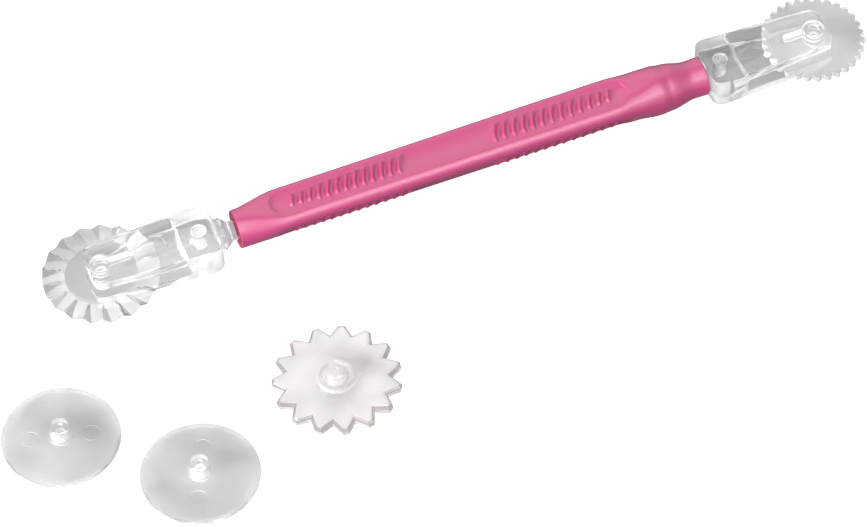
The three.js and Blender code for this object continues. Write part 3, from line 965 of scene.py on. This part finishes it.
def make_floor():
    """White table to the camera, darker to the light that reaches the parts."""
    size = 3.0
    gap = 0.0002
    height = cad_box[0].z - gap
    floor = new_object("floor", [(-size, -size, height), (size, -size, height), (size, size, height),
                                 (-size, size, height)], [(0, 1, 2, 3)])
    material, nodes, links, shader = node_tree("floor")
    path = nodes.new("ShaderNodeLightPath")
    bounce = nodes.new("ShaderNodeMix")
    bounce.data_type = "RGBA"
    bounce.inputs["A"].default_value = FLOOR_MIRRORED
    bounce.inputs["B"].default_value = FLOOR_DIFFUSE
    links.new(path.outputs["Is Diffuse Ray"], bounce.inputs["Factor"])
    mix = nodes.new("ShaderNodeMix")
    mix.data_type = "RGBA"
    links.new(bounce.outputs["Result"], mix.inputs["A"])
    mix.inputs["B"].default_value = FLOOR_SEEN
    links.new(path.outputs["Is Camera Ray"], mix.inputs["Factor"])
    links.new(mix.outputs["Result"], shader.inputs["Base Color"])
    glow = nodes.new("ShaderNodeMath")
    glow.operation = "MULTIPLY"
    glow.inputs[1].default_value = FLOOR_GLOW
    links.new(path.outputs["Is Camera Ray"], glow.inputs[0])
    links.new(glow.outputs["Value"], shader.inputs["Emission Strength"])
    shader.inputs["Emission Color"].default_value = (1, 1, 1, 1)
    shader.inputs["Roughness"].default_value = 0.9
    shader.inputs["Specular IOR Level"].default_value = 0.1
    floor.data.materials.append(material)


def softbox(name, toward, distance, size, power, target):
    """Area lamp seen from `target` in direction `toward`, but not through the clear parts."""
    light = bpy.data.lights.new(name, "AREA")
    light.shape = "RECTANGLE"
    light.size = size[0]
    light.size_y = size[1]
    light.energy = power
    lamp = bpy.data.objects.new(name, light)
    bpy.context.scene.collection.objects.link(lamp)
    direction = Vector(toward).normalized()
    lamp.visible_transmission = False
    lamp.location = target + direction * distance
    lamp.rotation_euler = direction.to_track_quat("Z", "Y").to_euler()


def make_world():
    """White horizon under a grey sky, dimmer for diffuse light."""
    world = bpy.data.worlds.new("studio")
    world.use_nodes = True
    bpy.context.scene.world = world
    nodes, links = world.node_tree.nodes, world.node_tree.links
    background = nodes["Background"]
    coordinates = nodes.new("ShaderNodeTexCoord")
    split = nodes.new("ShaderNodeSeparateXYZ")
    ramp = nodes.new("ShaderNodeValToRGB")
    horizon, zenith = ramp.color_ramp.elements
    horizon.position = 0.3
    horizon.color = (1.0, 1.0, 1.0, 1)
    zenith.position = 0.85
    zenith.color = (0.38, 0.38, 0.385, 1)
    links.new(coordinates.outputs["Generated"], split.inputs["Vector"])
    links.new(split.outputs["Z"], ramp.inputs["Fac"])
    links.new(ramp.outputs["Color"], background.inputs["Color"])
    path = nodes.new("ShaderNodeLightPath")
    strength = nodes.new("ShaderNodeMapRange")
    strength.inputs["To Min"].default_value = WORLD_CLEAR
    strength.inputs["To Max"].default_value = WORLD_DIFFUSE
    links.new(path.outputs["Is Diffuse Ray"], strength.inputs["Value"])
    links.new(strength.outputs["Result"], background.inputs["Strength"])


def make_camera():
    """Long lens from the front, a little to the left, looking down."""
    azimuth = math.radians(-18.82)
    elevation = math.radians(53.37)
    roll = math.radians(-3.19)
    aim = Vector((-0.0066, 0.0018, 0.0071))
    distance = 1.173
    back = Vector((math.sin(azimuth) * math.cos(elevation), -math.cos(azimuth) * math.cos(elevation),
                   math.sin(elevation)))
    level = Vector((math.cos(azimuth), math.sin(azimuth), 0))
    upright = back.cross(level)
    right = level * math.cos(roll) + upright * math.sin(roll)
    up = back.cross(right)
    data = bpy.data.cameras.new("camera")
    data.lens = 193.4
    data.sensor_width = 36
    data.clip_end = 20
    camera = bpy.data.objects.new("camera", data)
    turn = Matrix((right, up, back)).transposed().to_4x4()
    camera.matrix_world = Matrix.Translation(aim + back * distance) @ turn
    bpy.context.scene.collection.objects.link(camera)
    bpy.context.scene.camera = camera


make_floor()
middle = (cad_box[0] + cad_box[1]) / 2
softbox("overhead", (0.19, -0.50, 1.0), 1.1, (0.6, 1.05), 5.7, middle)
softbox("front", (0.15, -1.0, 0.85), 1.2, (0.8, 0.3), 2.2, middle)
softbox("back", (0.2, 0.85, 1.0), 1.2, (0.9, 0.4), 1.5, middle)
softbox("side_left", (-1.0, -0.25, 0.45), 1.1, (0.4, 0.3), 12.5, middle)
make_world()
make_camera()
bpy.context.scene.view_settings.view_transform = "Standard"
